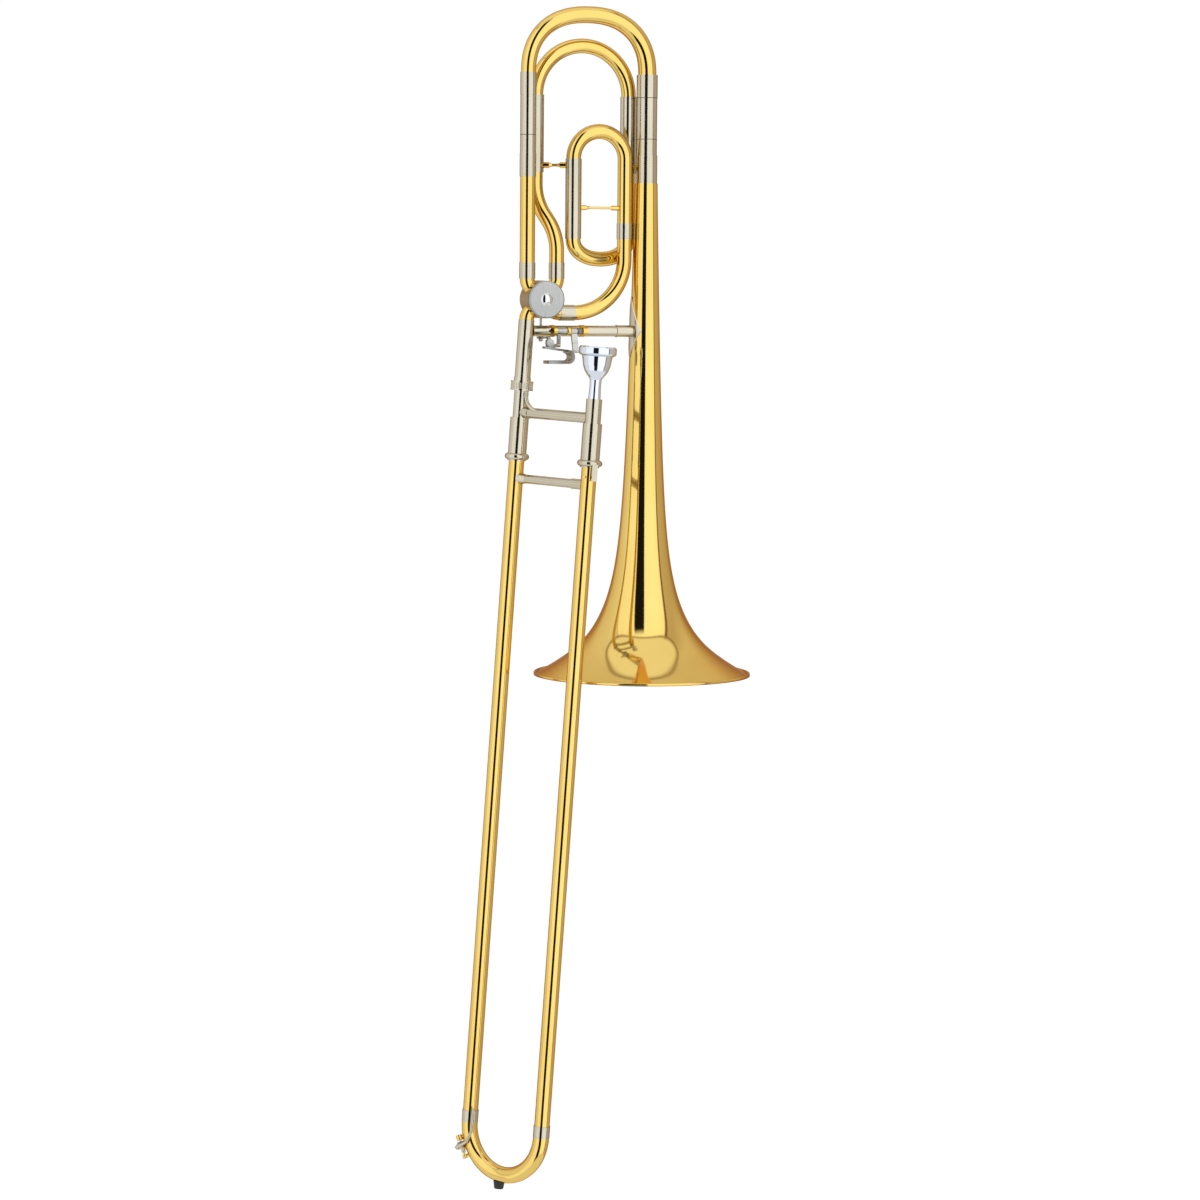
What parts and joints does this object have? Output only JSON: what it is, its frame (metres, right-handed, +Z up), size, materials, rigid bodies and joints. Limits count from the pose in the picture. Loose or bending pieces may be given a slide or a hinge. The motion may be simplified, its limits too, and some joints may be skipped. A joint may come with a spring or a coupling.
{
  "type": "trombone",
  "caption": "Tenor trombone with an F attachment: flared bell, rotary valve with thumb lever and wrap, tuning slides, long telescoping hand slide, mouthpiece and drain key.",
  "frame": {"origin": "centre of the bell mouth, in the plane of its rim, where a bell stand's cone holds the instrument", "axes": "+Z up the bell's axis away from the mouth; +X from the gooseneck to the bell's tail; +Y the side of the F tuning slide"},
  "size_m": [0.3078, 0.22, 1.1808],
  "materials": {
    "brass_lacquer": "clear-lacquered and polished",
    "nickel_silver": "polished nickel silver",
    "silver_plate": "polished silver plate",
    "spring_wire": "drawn spring wire",
    "rubber": "matt moulded",
    "cork": "cut cork"
  },
  "bodies": {
    "bell_section": {"bell": "brass_lacquer", "bell_stem": "brass_lacquer", "bell_rim": "brass_lacquer", "bell_leg": "nickel_silver", "bell_ferrule": "nickel_silver", "gooseneck": "brass_lacquer", "neck_leg": "nickel_silver", "neck_upper_ferrule": "nickel_silver", "neck_lower_ferrule": "nickel_silver", "rotor_casing": "nickel_silver", "valve_cap": "silver_plate", "valve_bearing_plate": "brass_lacquer", "stop_corks": "cork", "neck_knuckle": "brass_lacquer", "slide_knuckle": "brass_lacquer", "f_upper_knuckle": "brass_lacquer", "f_lower_knuckle": "brass_lacquer", "f_port_ferrules": "nickel_silver", "f_crook": "brass_lacquer", "f_outer_legs": "nickel_silver", "f_down_tube": "brass_lacquer", "loop_top_bow": "brass_lacquer", "loop_sleeve": "nickel_silver", "loop_tube": "brass_lacquer", "loop_ferrules": "nickel_silver", "bottom_bow": "brass_lacquer", "quarter_bow": "brass_lacquer", "wrap_braces": "brass_lacquer", "slide_receiver": "nickel_silver", "bell_brace": "nickel_silver", "bell_flange": "nickel_silver", "lever_saddle": "brass_lacquer", "lever_spring": "spring_wire"},
    "main_tuning_slide": {"main_bow": "brass_lacquer", "main_slide_legs": "nickel_silver"},
    "f_tuning_slide": {"f_bow": "brass_lacquer", "f_slide_legs": "nickel_silver"},
    "valve_rotor": {"rotor": "brass_lacquer", "stop_arm": "brass_lacquer"},
    "link_rod": {"valve_link": "silver_plate"},
    "thumb_trigger": {"thumb_lever": "silver_plate", "thumb_plate": "silver_plate"},
    "trigger_screw": {"thumb_screw": "silver_plate"},
    "nut": {"lock_nut": "nickel_silver"},
    "slide_section": {"slide_tenon": "nickel_silver", "upper_crossbar": "nickel_silver", "cork_barrels": "nickel_silver", "mouthpiece_receiver": "nickel_silver", "inner_tubes": "nickel_silver"},
    "slide_lock": {"slide_lock_ring": "nickel_silver"},
    "mouthpiece_body": {"mouthpiece": "silver_plate"},
    "outer_slide": {"outer_tube_long": "brass_lacquer", "outer_tube_short": "brass_lacquer", "outer_crossbar": "nickel_silver", "end_bow": "brass_lacquer", "end_bow_ferrules": "nickel_silver", "slide_bumper": "rubber", "water_key_nipple": "brass_lacquer", "water_key_spring": "spring_wire"},
    "drain_key": {"water_key": "nickel_silver"}
  },
  "joints": [
    {"name": "main_tuning", "type": "slide", "parent": "bell_section", "child": "main_tuning_slide", "axis": [0, 0, 1], "range_m": [0, 0.055]},
    {"name": "f_tuning", "type": "slide", "parent": "bell_section", "child": "f_tuning_slide", "axis": [0, 0, 1], "range_m": [0, 0.05]},
    {"name": "trigger", "type": "hinge", "parent": "bell_section", "child": "thumb_trigger", "pos_m": [-0.09, -0.01, 0.3481], "axis": [1, 0, 0], "range_deg": [0, 25], "stiffness_Nm_per_rad": 0.04, "springref_deg": -20.05},
    {"name": "rotor_turn", "type": "hinge", "parent": "bell_section", "child": "valve_rotor", "pos_m": [-0.1105, 0, 0.3795], "axis": [0, -1, 0], "range_deg": [0, 90]},
    {"name": "link_top_eye", "type": "hinge", "parent": "valve_rotor", "child": "link_rod", "pos_m": [-0.10343, 0.0223, 0.37243], "axis": [0, -1, 0], "range_deg": [-90, 0]},
    {"name": "trigger_screw_turn", "type": "hinge", "parent": "thumb_trigger", "child": "trigger_screw", "pos_m": [-0.1089, -0.018, 0.3367], "axis": [0, -1, 0], "continuous": true},
    {"name": "slide_swivel", "type": "hinge", "parent": "bell_section", "child": "slide_section", "pos_m": [-0.126, 0, 0.364], "axis": [-0.068, 0, -0.9977], "range_deg": [0, 245]},
    {"name": "nut_turn", "type": "hinge", "parent": "slide_section", "child": "nut", "pos_m": [-0.126, 0, 0.364], "axis": [-0.068, 0, -0.9977], "range_deg": [0, 90]},
    {"name": "hand_slide", "type": "slide", "parent": "slide_section", "child": "outer_slide", "axis": [-0.068, 0, -0.9977], "range_m": [0, 0.6]},
    {"name": "lock_ring_turn", "type": "hinge", "parent": "slide_section", "child": "slide_lock", "pos_m": [-0.07709, -0.07785, 0.36067], "axis": [0.068, 0, 0.9977], "range_deg": [-70, 0]},
    {"name": "mouthpiece_pull", "type": "slide", "parent": "slide_section", "child": "mouthpiece_body", "axis": [0.068, 0, 0.9977], "range_m": [0, 0.03]},
    {"name": "drain_key_press", "type": "hinge", "parent": "outer_slide", "child": "drain_key", "pos_m": [-0.19196, 0.00089, -0.46443], "axis": [-0.176, 0.3894, 0.9041], "range_deg": [0, 8], "stiffness_Nm_per_rad": 0.02, "springref_deg": -17.19}
  ],
  "couplings": [
    {"joint": "rotor_turn", "follows": "trigger", "ratio": 3.6},
    {"joint": "link_top_eye", "follows": "trigger", "ratio": -3.6}
  ]
}
